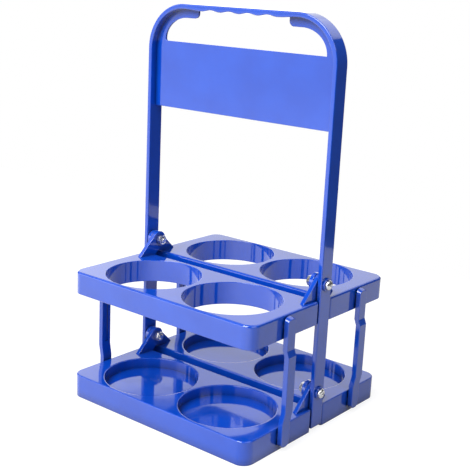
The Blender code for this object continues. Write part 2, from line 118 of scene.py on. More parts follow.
def sharpEdges(bm, degrees=40):
    limit = math.radians(degrees)
    return [e for e in bm.edges if len(e.link_faces) == 2 and e.calc_face_angle(0) > limit]


def drum(radius, bottom, top, steps, x=0.0, y=0.0):
    bm = bmesh.new()
    bmesh.ops.create_cone(bm, cap_ends=True, segments=steps, radius1=radius, radius2=radius,
                          depth=top - bottom)
    bmesh.ops.translate(bm, vec=(x, y, (top + bottom) / 2), verts=bm.verts)
    return bm


def block(low, high):
    bm = bmesh.new()
    bmesh.ops.create_cube(bm, size=1.0)
    bmesh.ops.scale(bm, vec=Vector(high) - Vector(low), verts=bm.verts)
    bmesh.ops.translate(bm, vec=(Vector(high) + Vector(low)) / 2, verts=bm.verts)
    return bm


def turned(corners, steps):
    # half section (radius, height, cut back, steps), spun about Z into a closed solid
    bm = bmesh.new()
    flatOutline(bm, corners)
    bmesh.ops.delete(bm, geom=bm.faces[:], context="FACES_ONLY")
    onAxis = [e for e in bm.edges if all(v.co.x < tiny for v in e.verts)]
    bmesh.ops.delete(bm, geom=onAxis, context="EDGES")
    bmesh.ops.transform(bm, matrix=upright, verts=bm.verts)
    bmesh.ops.spin(bm, geom=bm.verts[:] + bm.edges[:], cent=(0, 0, 0), axis=(0, 0, 1),
                   angle=2 * math.pi, steps=steps, use_merge=True)
    bmesh.ops.remove_doubles(bm, verts=bm.verts, dist=tiny / 10)
    bmesh.ops.recalc_face_normals(bm, faces=bm.faces)
    return bm


def asMesh(bm, matrix=None):
    mesh = bpy.data.meshes.new("step")
    if matrix is not None:
        bmesh.ops.transform(bm, matrix=matrix, verts=bm.verts)
    bm.to_mesh(mesh)
    bm.free()
    return mesh


def booleanStep(base, tools, operation):
    # base and tools are meshes; the tools are used up
    holder = bpy.data.objects.new("base", base)
    bpy.context.scene.collection.objects.link(holder)
    helpers = []
    for tool in tools:
        helper = bpy.data.objects.new("tool", tool)
        bpy.context.scene.collection.objects.link(helper)
        cut = holder.modifiers.new(operation, "BOOLEAN")
        cut.operation = operation
        cut.object = helper
        helpers.append(helper)
    bpy.context.view_layer.update()
    solved = holder.evaluated_get(bpy.context.evaluated_depsgraph_get())
    result = bpy.data.meshes.new_from_object(solved)
    for thing in helpers + [holder]:
        bpy.data.objects.remove(thing, do_unlink=True)
    return result


def addPiece(name, mesh, node, material, sharpAngle=32):
    # one finished piece for one CAD node, on that node's body
    bm = bmesh.new()
    bm.from_mesh(mesh)
    bmesh.ops.remove_doubles(bm, verts=bm.verts, dist=tiny / 5)
    bmesh.ops.recalc_face_normals(bm, faces=bm.faces)
    bm.to_mesh(mesh)
    bm.free()
    mesh.name = name
    mesh.materials.clear()
    mesh.materials.append(material)
    mesh.shade_smooth()
    mesh.set_sharp_from_angle(angle=math.radians(sharpAngle))
    piece = bpy.data.objects.new(name, mesh)
    bpy.context.scene.collection.objects.link(piece)
    flatten = piece.modifiers.new("even shading", "WEIGHTED_NORMAL")
    flatten.mode = "FACE_AREA"
    flatten.weight = 100
    flatten.keep_sharp = True
    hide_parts(node)
    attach(piece, frame["nodes"][node]["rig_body"])
    return piece


# finishes

middleOfNoise = (0.3, 0.7)     # where most of a noise's values lie


def noiseNode(nodes, links, coordinates, scale, detail, roughness=0.5, stretch=(1, 1, 1)):
    mapping = nodes.new("ShaderNodeMapping")
    mapping.inputs["Scale"].default_value = stretch
    links.new(coordinates.outputs["Object"], mapping.inputs["Vector"])
    noise = nodes.new("ShaderNodeTexNoise")
    noise.inputs["Scale"].default_value = scale
    noise.inputs["Detail"].default_value = detail
    noise.inputs["Roughness"].default_value = roughness
    links.new(mapping.outputs["Vector"], noise.inputs["Vector"])
    return noise


def mathNode(nodes, links, operation, *values):
    node = nodes.new("ShaderNodeMath")
    node.operation = operation
    for socket, value in zip(node.inputs, values):
        if isinstance(value, (int, float)):
            socket.default_value = value
        else:
            links.new(value, socket)
    return node.outputs[0]


def rangeNode(nodes, links, value, given, wanted):
    # the given range of a value stretched over the wanted one
    node = nodes.new("ShaderNodeMapRange")
    for end, number in zip(("From Min", "From Max", "To Min", "To Max"), (*given, *wanted)):
        node.inputs[end].default_value = number
    links.new(value, node.inputs["Value"])
    return node


def toneRamp(nodes, links, source, places, tones):
    # two tones that a noise blends between
    ramp = nodes.new("ShaderNodeValToRGB")
    for stop, place, tone in zip(ramp.color_ramp.elements, places, tones):
        stop.position = place
        stop.color = (*tone, 1)
    links.new(source.outputs["Fac"], ramp.inputs["Fac"])
    return ramp


def bumpNode(nodes, links, height, distance, before=None):
    bump = nodes.new("ShaderNodeBump")
    bump.inputs["Strength"].default_value = 1.0
    bump.inputs["Distance"].default_value = distance
    links.new(height.outputs[0], bump.inputs["Height"])
    if before is not None:
        links.new(before.outputs["Normal"], bump.inputs["Normal"])
    return bump


def mouldedPlastic(name, settings):
    material = bpy.data.materials.new(name)
    material.use_nodes = True
    nodes, links = material.node_tree.nodes, material.node_tree.links
    shader = nodes["Principled BSDF"]
    shader.inputs["IOR"].default_value = settings["ior"]
    shader.inputs["Coat Weight"].default_value = settings["skin"]
    shader.inputs["Coat Roughness"].default_value = settings["skinRoughness"]
    shader.inputs["Coat IOR"].default_value = settings["skinIor"]
    coordinates = nodes.new("ShaderNodeTexCoord")

    cloud = noiseNode(nodes, links, coordinates, settings["cloudScale"], detail=3)
    tint = toneRamp(nodes, links, cloud, settings["cloudPlaces"],
                    (settings["deepBlue"], settings["lightBlue"]))
    # painted shade: an ambient occlusion probe darkens the base colour in cups, creases, under lips and
    # between parts, where shade falls
    paintedShadeProbe = nodes.new("ShaderNodeAmbientOcclusion")
    paintedShadeProbe.samples = settings["paintedShadeSamples"]
    paintedShadeProbe.inputs["Distance"].default_value = settings["paintedShadeReach"]
    depth = rangeNode(nodes, links, paintedShadeProbe.outputs["AO"], settings["paintedShadeRange"], (settings["paintedShadeDarkest"], 1))
    paintedShadeTint = nodes.new("ShaderNodeVectorMath")
    paintedShadeTint.operation = "SCALE"
    links.new(tint.outputs["Color"], paintedShadeTint.inputs[0])
    links.new(depth.outputs["Result"], paintedShadeTint.inputs["Scale"])
    links.new(paintedShadeTint.outputs["Vector"], shader.inputs["Base Color"])

    smear = noiseNode(nodes, links, coordinates, settings["smearScale"], detail=4, roughness=0.6,
                      stretch=settings["smearStretch"])
    gloss = rangeNode(nodes, links, smear.outputs["Fac"], middleOfNoise, settings["roughness"])
    links.new(gloss.outputs["Result"], shader.inputs["Roughness"])

    sink = noiseNode(nodes, links, coordinates, settings["sinkScale"], detail=1, roughness=0.4,
                     stretch=settings["flowStretch"])
    grain = noiseNode(nodes, links, coordinates, settings["grainScale"], detail=2)
    ripple = bumpNode(nodes, links, sink, settings["sinkDepth"])
    skin = bumpNode(nodes, links, grain, settings["grainDepth"], ripple)
    links.new(skin.outputs["Normal"], shader.inputs["Normal"])
    links.new(ripple.outputs["Normal"], shader.inputs["Coat Normal"])
    return material


def platedSteel(name, settings):
    material = bpy.data.materials.new(name)
    material.use_nodes = True
    nodes, links = material.node_tree.nodes, material.node_tree.links
    shader = nodes["Principled BSDF"]
    shader.inputs["Metallic"].default_value = settings["metal"]
    coordinates = nodes.new("ShaderNodeTexCoord")

    stain = noiseNode(nodes, links, coordinates, settings["stainScale"], detail=3)
    tint = toneRamp(nodes, links, stain, settings["stainPlaces"],
                    (settings["dullTone"], settings["brightTone"]))
    links.new(tint.outputs["Color"], shader.inputs["Base Color"])

    wear = noiseNode(nodes, links, coordinates, settings["wearScale"], detail=4, roughness=0.6)
    gloss = rangeNode(nodes, links, wear.outputs["Fac"], middleOfNoise, settings["roughness"])
    links.new(gloss.outputs["Result"], shader.inputs["Roughness"])
    scratch = noiseNode(nodes, links, coordinates, settings["scratchScale"], detail=2,
                        stretch=settings["scratchStretch"])
    marks = bumpNode(nodes, links, scratch, settings["scratchDepth"])
    links.new(marks.outputs["Normal"], shader.inputs["Normal"])
    return material


shelfFinish = {
    "deepBlue": (0.002, 0.056, 0.455),
    "lightBlue": (0.003, 0.066, 0.515),
    "cloudScale": 26,
    "cloudPlaces": (0.35, 0.65),
    # painted shade in cups, creases and between parts: the base colour darkens where other surfaces are
    # near
    "paintedShadeReach": 0.014,          # how near other surfaces bring painted shade into the base colour
    "paintedShadeRange": (0.30, 0.82),   # openness from the deepest painted shade to none
    "paintedShadeDarkest": 0.32,
    "paintedShadeSamples": 8,
    "ior": 1.52,
    "skin": 0.85,                # clear outer skin of the moulding, which carries the sharp reflections
    "skinRoughness": 0.025,
    "skinIor": 1.55,
    "roughness": (0.06, 0.11),
    "smearScale": 70,
    "smearStretch": (1, 1, 2.5),
    "sinkScale": 38,
    "flowStretch": (1, 1, 1.6),
    "sinkDepth": 0.00005,
    "grainScale": 1900,
    "grainDepth": 0.000004,
}
frameFinish = dict(
    shelfFinish,
    deepBlue=(0.002, 0.057, 0.465),
    lightBlue=(0.003, 0.068, 0.525),
    sinkScale=24,
    flowStretch=(0.5, 1, 3.0),   # long flow marks across the panel
    smearStretch=(1, 1, 5.0),
)
strutFinish = dict(
    shelfFinish,
    deepBlue=(0.002, 0.054, 0.430),
    lightBlue=(0.003, 0.063, 0.485),
    sinkScale=60,
    roughness=(0.08, 0.14),
)
boltFinish = {
    "metal": 0.92,               # the rest is a pale haze in the plating
    "dullTone": (0.78, 0.79, 0.81),
    "brightTone": (0.95, 0.95, 0.96),
    "stainScale": 900,
    "stainPlaces": (0.35, 0.6),
    "roughness": (0.06, 0.14),
    "wearScale": 1500,
    "scratchScale": 2600,
    "scratchStretch": (1, 1, 0.3),
    "scratchDepth": 0.000006,
}
nutFinish = dict(boltFinish, roughness=(0.08, 0.18), dullTone=(0.70, 0.71, 0.73))

shelfPlastic = mouldedPlastic("glossy blue shelf plastic", shelfFinish)
framePlastic = mouldedPlastic("glossy blue frame plastic", frameFinish)
strutPlastic = mouldedPlastic("blue strut plastic", strutFinish)
boltChrome = platedSteel("chromed bolt", boltFinish)
nutChrome = platedSteel("chromed nut", nutFinish)
print("finishes ready")


# measures that several pieces share; the boxes come from the CAD

upperLow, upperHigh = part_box("upper_shelf_front")
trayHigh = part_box("lower_tray_front")[1]
frameLow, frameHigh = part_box("handle_frame")
strutLow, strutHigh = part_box("strut_front_right")

hinge = {
    "headRadius": 0.0078,
    "thickness": 0.0040,
    "gap": 0.0003,               # from a lug to its neighbour on the bolt
    "footLength": 0.0188,
    "sink": 0.0010,              # a lug's foot down into the roof
    "edgeRound": 0.0005,
    "boltHole": 0.00275,
    "boreHalf": 0.0200,          # half length of the cutter for a bolt hole
    "rise": 0.0130,              # bolt above the top of a tier
    "steps": 48,
}
upperPivot = upperHigh.z - hinge["headRadius"]
lowerPivot = trayHigh.z - hinge["headRadius"]


def boltBore(x, z):
    bore = drum(hinge["boltHole"], -hinge["boreHalf"], hinge["boreHalf"], hinge["steps"])
    return asMesh(bore, Matrix.Translation((x, 0, z)) @ sideways)


# handle frame: one strip bent into legs and bar, with the panel and the ears

handle = {
    "stripThickness": 0.00415,
    "stripWidth": 0.0153,
    "edgeRound": 0.0009,
    "edgeSteps": 4,
    "cornerRadius": 0.0400,
    "cornerSteps": 36,
    "barSteps": 96,
    "bossRadius": 0.0057,
    "bossHeight": 0.0016,
    "bossRound": 0.00035,
    "bossSink": 0.0020,          # a boss's foot into the leg
    "bossSteps": 64,
    "barDepth": 0.0046,
    "fingerPitch": 0.0200,
    "fingerCount": 4,
    "fingerDepth": 0.0013,
    "webThickness": 0.0020,
    "webRound": 0.0003,
    "webSink": 0.0012,
    "handOpening": 0.0281,
    "panelHeight": 0.0585,
    "barClear": 0.0960,          # bar between the two ears
    "earDepth": 0.0073,
    "earEnd": 0.0045,
    "earArc": 0.0250,
    "earMargin": 0.0105,
    "earFoot": 0.0020,
    "earFootShift": 0.0004,
    "earSteps": 24,
}
legOuter = frameHigh.x - handle["bossHeight"]
legInner = legOuter - handle["stripThickness"]
barUnderside = frameHigh.z - handle["barDepth"]
panelTop = barUnderside - handle["handOpening"]


def frameStrip():
    half = handle["stripWidth"] / 2
    rim = handle["edgeRound"]
    radius = handle["cornerRadius"]
    cornerX, cornerZ = legOuter - radius, frameHigh.z - radius
    bm = bmesh.new()
    section = [(x, y, rim, handle["edgeSteps"]) for x, y in (
        (-legOuter, -half), (-legInner, -half), (-legInner, half), (-legOuter, half))]
    tip = flatOutline(bm, section, frameLow.z)
    tip = pushOut(bm, tip, (0, 0, cornerZ - frameLow.z), keepBase=True)
    tip = bendOn(bm, tip, (-cornerX, 0, cornerZ), math.pi / 2, handle["cornerSteps"])
    for _ in range(handle["barSteps"]):
        tip = pushOut(bm, tip, (2 * cornerX / handle["barSteps"], 0, 0))
    tip = bendOn(bm, tip, (cornerX, 0, cornerZ), math.pi / 2, handle["cornerSteps"])
    pushOut(bm, tip, (0, 0, frameLow.z - cornerZ))
    bmesh.ops.remove_doubles(bm, verts=bm.verts, dist=tiny / 10)
    bmesh.ops.recalc_face_normals(bm, faces=bm.faces)
    softenEdges(bm, edgesAt(bm, frameLow.z), rim)

    # finger waves along the underside of the bar
    waveEnd = handle["fingerCount"] * handle["fingerPitch"] / 2
    middle = frameHigh.z - handle["stripThickness"] / 2
    inner = frameHigh.z - handle["stripThickness"]
    for vert in bm.verts:
        if cornerZ < vert.co.z < middle and abs(vert.co.x) < cornerX - tiny:
            reach = min(1.0, (cornerX - abs(vert.co.x)) / (cornerX - waveEnd))
            wave = math.cos(2 * math.pi * (vert.co.x + waveEnd) / handle["fingerPitch"])
            if abs(vert.co.x) > waveEnd:
                wave = 1.0
            drop = inner - barUnderside + handle["fingerDepth"] / 2 * wave
            vert.co.z -= drop * reach * reach * (3 - 2 * reach)
    return bm


def frameWeb():
    radius = handle["cornerRadius"]
    hidden = radius - handle["stripThickness"] + handle["webSink"]
    cornerX, cornerZ = legOuter - radius, frameHigh.z - radius
    side = legInner + handle["webSink"]
    earX = handle["barClear"] / 2
    earZ = barUnderside - handle["earDepth"]
    openX = legInner - handle["earMargin"]
    footAngle = math.asin((panelTop - (earZ - handle["earArc"])) / handle["earArc"])
    footX = openX - handle["earArc"] * (1 - math.cos(footAngle))
    corner = cornerZ + hidden
    right = [
        (side, panelTop - handle["panelHeight"], 0, 1),
        (side, corner, hidden, handle["earSteps"]),
        (earX, corner, 0, 1),
        (earX, earZ, handle["earEnd"], 8),
        (openX, earZ, handle["earArc"], handle["earSteps"]),
        (footX + handle["earFootShift"], panelTop, handle["earFoot"], 6),
    ]
    outline = right + [(-x, z, cut, steps) for x, z, cut, steps in reversed(right)]
    bm = slab(outline, -handle["webThickness"] / 2, handle["webThickness"] / 2)
    flat = [e for e in bm.edges if abs(e.verts[0].co.z - e.verts[1].co.z) < tiny]
    softenEdges(bm, flat, handle["webRound"])
    return bm


def handleFrame():
    strip = asMesh(frameStrip())
    added = [asMesh(frameWeb(), upright)]
    holes = []
    bossEnd = handle["bossHeight"] + handle["bossSink"]
    for side in (-1, 1):
        for height in (upperPivot, lowerPivot):
            boss = drum(handle["bossRadius"], 0, bossEnd, handle["bossSteps"])
            softenEdges(boss, edgesAt(boss, bossEnd), handle["bossRound"], steps=4)
            foot = Matrix.Translation((side * (legOuter - handle["bossSink"]), 0, height))
            added.append(asMesh(boss, foot @ Matrix.Rotation(side * math.radians(90), 4, "Y")))
            holes.append(boltBore(side * legOuter, height))
    mesh = booleanStep(strip, added, "UNION")
    return booleanStep(mesh, holes, "DIFFERENCE")


addPiece("carrierFrame", handleFrame(), "handle_frame", framePlastic)
print("handle frame modelled")


# shelf halves and trays: two bottle rings or cups in a rounded skirt, with two hinge lugs

shelf = {
    "holeRadius": 0.0420,
    "holeWeb": 0.0044,
    "frontMargin": 0.0029,
    "middleGap": 0.0124,
    "outerCorner": 0.0105,
    "wallEnd": 0.0025,
    "wall": 0.0022,
    "ringWall": 0.0025,
    "roof": 0.0022,
    "tieWidth": 0.0120,
    "legWidth": 0.0153,
    "legClearance": 0.0005,
    "holeSteps": 144,
    "ringSteps": 112,
    "rimRound": 0.0005,
    "rimSteps": 4,
    "footRound": 0.0006,
    "reach": 0.0020,             # the ring walls and ties into the roof, the pocket past the foot
    "studHole": 0.00325,
    "studCut": 0.0040,           # half length of the cutter for a stud's hole
    "studSteps": 40,
    "studDrop": 0.0094,
    "cupDepth": 0.0090,          # a tray's cups only
    "dishWidth": 0.0015,         # a tray's top falls gently towards each cup
    "dishFall": 0.0002,
    "footRadius": 0.0080,        # round foot under the middle of a cup
    "underFillet": 0.0010,
    "underSteps": 96,
}
upperTier = dict(shelf, depth=0.0200, edgeRound=0.0020, floor=False)
trayTier = dict(shelf, depth=0.0210, edgeRound=0.0011, floor=True)
halfLength = upperHigh.x
holeX = shelf["holeWeb"] / 2 + shelf["holeRadius"]
holeY = upperLow.y + shelf["frontMargin"] + shelf["holeRadius"]
lugOuterX = legInner - hinge["gap"] - hinge["thickness"] / 2
lugInnerX = lugOuterX - hinge["gap"] - hinge["thickness"]


def shelfCorners(tier, inset=0.0):
    side = halfLength - inset
    front = upperLow.y + inset
    notchX = legInner - tier["legClearance"] - inset
    notchY = -(tier["legWidth"] / 2 + tier["legClearance"] + inset)
    inner = -(tier["middleGap"] / 2 + inset)
    right = [
        (side, front, tier["outerCorner"] - inset, 20),
        (side, notchY, tier["wallEnd"] - inset, 8),
        (notchX, notchY, 0, 1),
        (notchX, inner, 0, 1),
    ]
    return right + [(-x, y, cut, steps) for x, y, cut, steps in reversed(right)]


def lug(centerX):
    # pivot at the origin; a round head and a straight foot, hulled together
    far = -(shelf["middleGap"] / 2 + hinge["footLength"])
    near = -shelf["middleGap"] / 2
    low = -hinge["rise"] - hinge["sink"]
    half = hinge["thickness"] / 2
    bm = drum(hinge["headRadius"], -half, half, hinge["steps"])
    for x, y in ((far, -hinge["rise"]), (near, -hinge["rise"]), (far, low), (near, low)):
        for z in (-half, half):
            bm.verts.new((x, y, z))
    bmesh.ops.delete(bm, geom=bm.edges[:], context="EDGES_FACES")
    hull = bmesh.ops.convex_hull(bm, input=bm.verts[:])
    bmesh.ops.delete(bm, geom=list(set(hull["geom_interior"])), context="VERTS")
    bmesh.ops.dissolve_limit(bm, angle_limit=math.radians(1), verts=bm.verts, edges=bm.edges)
    bmesh.ops.recalc_face_normals(bm, faces=bm.faces)
    softenEdges(bm, sharpEdges(bm, 60), hinge["edgeRound"])
    stand = Matrix(((0, 0, 1, centerX), (1, 0, 0, 0), (0, 1, 0, 0), (0, 0, 0, 1)))
    return asMesh(bm, stand)


def shelfHalf(tier):
    # hinge axis at the origin, the half lies towards -Y
    top = -hinge["rise"]
    bottom = top - tier["depth"]
    body = slab(shelfCorners(tier), bottom, top)
    softenEdges(body, edgesAt(body, top), tier["edgeRound"], steps=5)
    softenEdges(body, edgesAt(body, bottom), tier["footRound"])

    # the hollow underneath leaves the ring walls and the ties between them standing
    pocket = asMesh(slab(shelfCorners(tier, tier["wall"]), bottom - tier["reach"], top - tier["roof"]))
    keepTop = top - tier["roof"] + tier["reach"]
    keepFoot = bottom - 2 * tier["reach"]
    tie = tier["tieWidth"] / 2
    ringRadius = tier["holeRadius"] + tier["ringWall"]
    kept = []
    for x in (-holeX, holeX):
        kept.append(asMesh(drum(ringRadius, keepFoot, keepTop, tier["ringSteps"], x, holeY)))
        kept.append(asMesh(block((x - tie, upperLow.y, keepFoot), (x + tie, 0, keepTop))))
    kept.append(asMesh(block((-holeX, holeY - tie, keepFoot), (holeX, holeY + tie, keepTop))))
    pocket = booleanStep(pocket, kept, "DIFFERENCE")
    mesh = booleanStep(asMesh(body), [pocket], "DIFFERENCE")
    mesh = booleanStep(mesh, [lug(lugOuterX), lug(-lugInnerX)], "UNION")

    radius, rim = tier["holeRadius"], tier["rimRound"]
    dish, rimTop = rim, top
    if tier["floor"]:
        dish, rimTop = tier["dishWidth"], top - tier["dishFall"]
    angles = [step * math.pi / 2 / tier["rimSteps"] for step in range(tier["rimSteps"] + 1)]
    flare = [(radius + rim * (1 - math.cos(angle)), rim * (1 - math.sin(angle))) for angle in angles]
    upperRim = [(out, rimTop - down, 0, 1) for out, down in flare]
    if tier["floor"]:
        upperRim.append((radius + dish, top, 0, 1))
    above, below = top + overshoot, bottom - overshoot
    upperRim += [(radius + dish, above, 0, 1), (0, above, 0, 1)]
    lowerRim = [(0, below, 0, 1), (radius + rim, below, 0, 1)]
    lowerRim += [(out, bottom + down, 0, 1) for out, down in reversed(flare)]
    cuts = []
    for x in (-holeX, holeX):
        if tier["floor"]:
            floor = top - tier["cupDepth"]
            section = [(0, floor, 0, 1), (radius, floor, 0, 1)] + upperRim
            under, fillet, foot = floor - tier["roof"], tier["underFillet"], tier["footRadius"]
            hollow = [(foot, below, 0, 1), (radius, below, 0, 1),
                      (radius, under, fillet, 4), (foot, under, fillet, 4)]
            cuts.append(asMesh(turned(hollow, tier["underSteps"]), Matrix.Translation((x, holeY, 0))))
        else:
            section = lowerRim + upperRim
        cuts.append(asMesh(turned(section, tier["holeSteps"]), Matrix.Translation((x, holeY, 0))))
    for side in (-1, 1):
        cuts.append(boltBore(side * lugOuterX, 0))
        stud = drum(tier["studHole"], -tier["studCut"], tier["studCut"], tier["studSteps"])
        place = Matrix.Translation((side * halfLength, holeY, top - tier["studDrop"]))
        cuts.append(asMesh(stud, place @ sideways))
    return booleanStep(mesh, cuts, "DIFFERENCE")


for tierName, tier, node, pivot in (("bottleShelf", upperTier, "upper_shelf", upperPivot),
                                    ("bottleTray", trayTier, "lower_tray", lowerPivot)):
    halfMesh = shelfHalf(tier)
    for row, angle in (("front", 0.0), ("rear", math.pi)):
        mesh = halfMesh.copy()
        mesh.transform(Matrix.Translation((0, 0, pivot)) @ Matrix.Rotation(angle, 4, "Z"))
        addPiece(f"{tierName}_{row}", mesh, f"{node}_{row}", shelfPlastic)
    print(tierName, "halves modelled,", len(halfMesh.polygons), "faces each")


# struts: jogged flat bars with a snap stud at each end

strut = {
    "width": 0.0104,
    "thickness": 0.0046,
    "standoff": 0.0010,          # clear of the side walls
    "bow": 0.0020,               # further out between the tiers
    "above": 0.0082,             # above the upper stud
    "below": 0.0074,             # below the lower stud
    "endRound": 0.0042,
    "endSteps": 10,
    "topSlope": 0.36,
    "slopeLength": 0.0040,
    "edgeRound": 0.00055,
    "edgeSteps": 6,
    "upperStep": 0.0194,
    "upperStepHeight": 0.0050,
    "lowerStep": 0.0134,
    "lowerStepHeight": 0.0105,
    "grooveMargin": 0.0034,
    "grooveDepth": 0.0009,
    "studRadius": 0.0030,
    "studLip": 0.0008,
    "studLipLength": 0.0018,
    "studRound": 0.0002,
    "studEndRound": 0.0003,
    "studSteps": 48,
    "collar": 0.0046,
    "seat": 0.0003,
}
upperStud = strutHigh.z - strut["above"]
lowerStud = strutLow.z + strut["below"]
studSpacing = upperStud - lowerStud


def strutBar():
    # side view: X outward from the side wall, Y up from the upper stud
    inner = strut["standoff"]
    bowed = inner + strut["bow"]
    upperStep, lowerStep = -strut["upperStep"], -studSpacing + strut["lowerStep"]
    inside = [(inner, strut["above"]), (inner, upperStep), (bowed, upperStep - strut["upperStepHeight"]),
              (bowed, lowerStep + strut["lowerStepHeight"]), (inner, lowerStep),
              (inner, -studSpacing - strut["below"])]
    outline = [(x, y, 0, 1) for x, y in inside]
    outline += [(x + strut["thickness"], y, 0, 1) for x, y in reversed(inside)]
    bm = slab(outline, -strut["width"] / 2, strut["width"] / 2)
    bmesh.ops.transform(bm, matrix=upright, verts=bm.verts)

    ends = (strut["above"], -studSpacing - strut["below"])
    corners = [e for e in bm.edges if any(all(abs(v.co.z - end) < tiny for v in e.verts) for end in ends)
               and abs(e.verts[0].co.y - e.verts[1].co.y) < tiny]
    softenEdges(bm, corners, strut["endRound"], strut["endSteps"])
    softenEdges(bm, sharpEdges(bm, 35), strut["edgeRound"], strut["edgeSteps"])

    # a shallow groove in the inner side between the steps
    back = [f for f in bm.faces if f.normal.x < -0.99
            and abs(f.calc_center_median().x - bowed) < tiny]
    bmesh.ops.inset_region(bm, faces=back, thickness=strut["grooveMargin"] - strut["edgeRound"],
                           use_even_offset=True)
    pushOut(bm, back, (strut["grooveDepth"], 0, 0))

    # the top falls outwards
    for vert in bm.verts:
        share = max(0.0, 1 - (strut["above"] - vert.co.z) / strut["slopeLength"])
        vert.co.z -= strut["topSlope"] * share * (vert.co.x - inner)
    return bm


def strutStud():
    # axis Z, wall face at 0, the bar above it
    root = strut["standoff"] + strut["thickness"] / 2
    collar, radius, seat = strut["collar"], strut["studRadius"], strut["seat"]
    lip = radius + strut["studLip"]
    lipTop = -shelf["wall"] - seat
    tip = lipTop - strut["studLipLength"]
    edge, end = strut["studRound"], strut["studEndRound"]
    section = [(0, root, 0, 1), (collar, root, 0, 1), (collar, seat, edge, 3),
               (radius, seat, 0, 1), (radius, lipTop, 0, 1), (lip, lipTop, edge, 3),
               (lip, lipTop - strut["studLipLength"] / 3, end, 3), (radius, tip, end, 3), (0, tip, 0, 1)]
    return turned(section, strut["studSteps"])


def sideStrut():
    bar = asMesh(strutBar())
    studs = [asMesh(strutStud(), Matrix.Translation((0, 0, -down)) @ sideways)
             for down in (0, studSpacing)]
    return booleanStep(bar, studs, "UNION")


strutMesh = sideStrut()
for row, depthSide in (("front", 1), ("rear", -1)):
    for column, side in (("left", -1), ("right", 1)):
        mesh = strutMesh.copy()
        place = Matrix.Translation((side * halfLength, depthSide * holeY, upperStud))
        mesh.transform(place @ Matrix.Rotation(0 if side > 0 else math.pi, 4, "Z"))
        addPiece(f"foldingStrut_{row}_{column}", mesh, f"strut_{row}_{column}",
                 strutPlastic, sharpAngle=18)
print("struts modelled")


# hinge bolts and nuts

bolt = {
    "shankRadius": 0.0025,
    "coreRadius": 0.0021,
    "headRadius": 0.00425,
    "headHeight": 0.0028,
    "skirt": 0.35,               # straight share of the head's height
    "domeSteps": 16,
    "headSteps": 64,
    "shankSteps": 48,
    "shankSink": 0.0005,         # up into the head
    "crossLength": 0.0048,
    "crossWidth": 0.0010,
    "crossDepth": 0.0015,
    "crossTaper": (0.45, 0.7),   # length and width at the recess's bottom
    "threadPitch": 0.0007,
    "threadBase": 0.8,           # share of the pitch under one ridge
    "threadRoot": 0.00015,       # down into the core
    "threadStart": 0.0001,
    "threadMargin": 0.0012,      # plain length left at both ends
    "threadSteps": 36,           # for each turn
    "runOut": 0.0006,            # from the full shank down to the core
    "tail": 0.0014,
    "tipBevel": 0.0003,
    "tipShare": 0.8,             # of the core's radius left at the tip
    "nutAcrossFlats": 0.0080,
    "nutThickness": 0.0044,
    "nutChamfer": 0.0005,
    "chamferSlope": 1.16,
    "countersink": 0.0005,
    "nutSteps": 72,
    "seat": 0.0003,
}
headSeat = legOuter + handle["bossHeight"] + bolt["seat"]
nutFace = lugInnerX - hinge["thickness"] / 2 - bolt["seat"]
boltTip = nutFace - bolt["nutThickness"] - bolt["tail"]


def domedHead():
    # a quarter arc spun about the bolt's axis, over a short straight skirt
    bm = bmesh.new()
    start = bm.verts.new((bolt["headRadius"], 0, 0))
    bmesh.ops.spin(bm, geom=[start], cent=(0, 0, 0), axis=(0, -1, 0), angle=math.pi / 2,
                   steps=bolt["domeSteps"])
    rise = bolt["headHeight"] * (1 - bolt["skirt"])
    bmesh.ops.scale(bm, vec=(1, 1, rise / bolt["headRadius"]), verts=bm.verts)
    bmesh.ops.translate(bm, vec=(0, 0, headSeat + bolt["headHeight"] * bolt["skirt"]), verts=bm.verts)
    bm.verts.ensure_lookup_table()
    edge = max(bm.verts, key=lambda v: v.co.x)
    line = bmesh.ops.extrude_vert_indiv(bm, verts=[edge])["verts"]
    line[0].co.z = headSeat
    inward = bmesh.ops.extrude_vert_indiv(bm, verts=line)["verts"]
    inward[0].co = (0, 0, headSeat)
    bmesh.ops.spin(bm, geom=bm.verts[:] + bm.edges[:], cent=(0, 0, 0), axis=(0, 0, 1),
                   angle=2 * math.pi, steps=bolt["headSteps"], use_merge=True)
    bmesh.ops.remove_doubles(bm, verts=bm.verts, dist=tiny)
    bmesh.ops.recalc_face_normals(bm, faces=bm.faces)
    return bm


def crossRecess():
    crown = headSeat + bolt["headHeight"]
    arms = []
    for angle in (0, math.pi / 2):
        half, wide = bolt["crossLength"] / 2, bolt["crossWidth"] / 2
        arm = block((-half, -wide, crown - bolt["crossDepth"]), (half, wide, crown + overshoot))
        deep = [v for v in arm.verts if v.co.z < crown]
        bmesh.ops.scale(arm, vec=(*bolt["crossTaper"], 1), verts=deep)
        arms.append(asMesh(arm, Matrix.Rotation(angle, 4, "Z")))
    return arms


def shankWithThread():
    outer, inner = bolt["shankRadius"], bolt["coreRadius"]
    top = headSeat + bolt["shankSink"]
    shank = [(0, top, 0, 1), (outer, top, 0, 1), (outer, nutFace, 0, 1),
             (inner, nutFace - bolt["runOut"], 0, 1), (inner, boltTip + bolt["tipBevel"], 0, 1),
             (inner * bolt["tipShare"], boltTip, 0, 1), (0, boltTip, 0, 1)]
    core = asMesh(turned(shank, bolt["shankSteps"]))
    pitch = bolt["threadPitch"]
    turns = (nutFace - boltTip - bolt["threadMargin"]) / pitch
    steps = int(turns * bolt["threadSteps"])
    thread = bmesh.new()
    root, start = inner - bolt["threadRoot"], boltTip + bolt["threadStart"]
    ridge = [(root, start), (root, start + pitch * bolt["threadBase"]),
             (outer, start + pitch * bolt["threadBase"] / 2)]
    face = thread.faces.new([thread.verts.new((x, 0, z)) for x, z in ridge])
    bmesh.ops.spin(thread, geom=[face], cent=(0, 0, 0), axis=(0, 0, 1),
                   dvec=(0, 0, turns * pitch / steps), angle=2 * math.pi * turns, steps=steps)
    bmesh.ops.recalc_face_normals(thread, faces=thread.faces)
    return core, asMesh(thread)


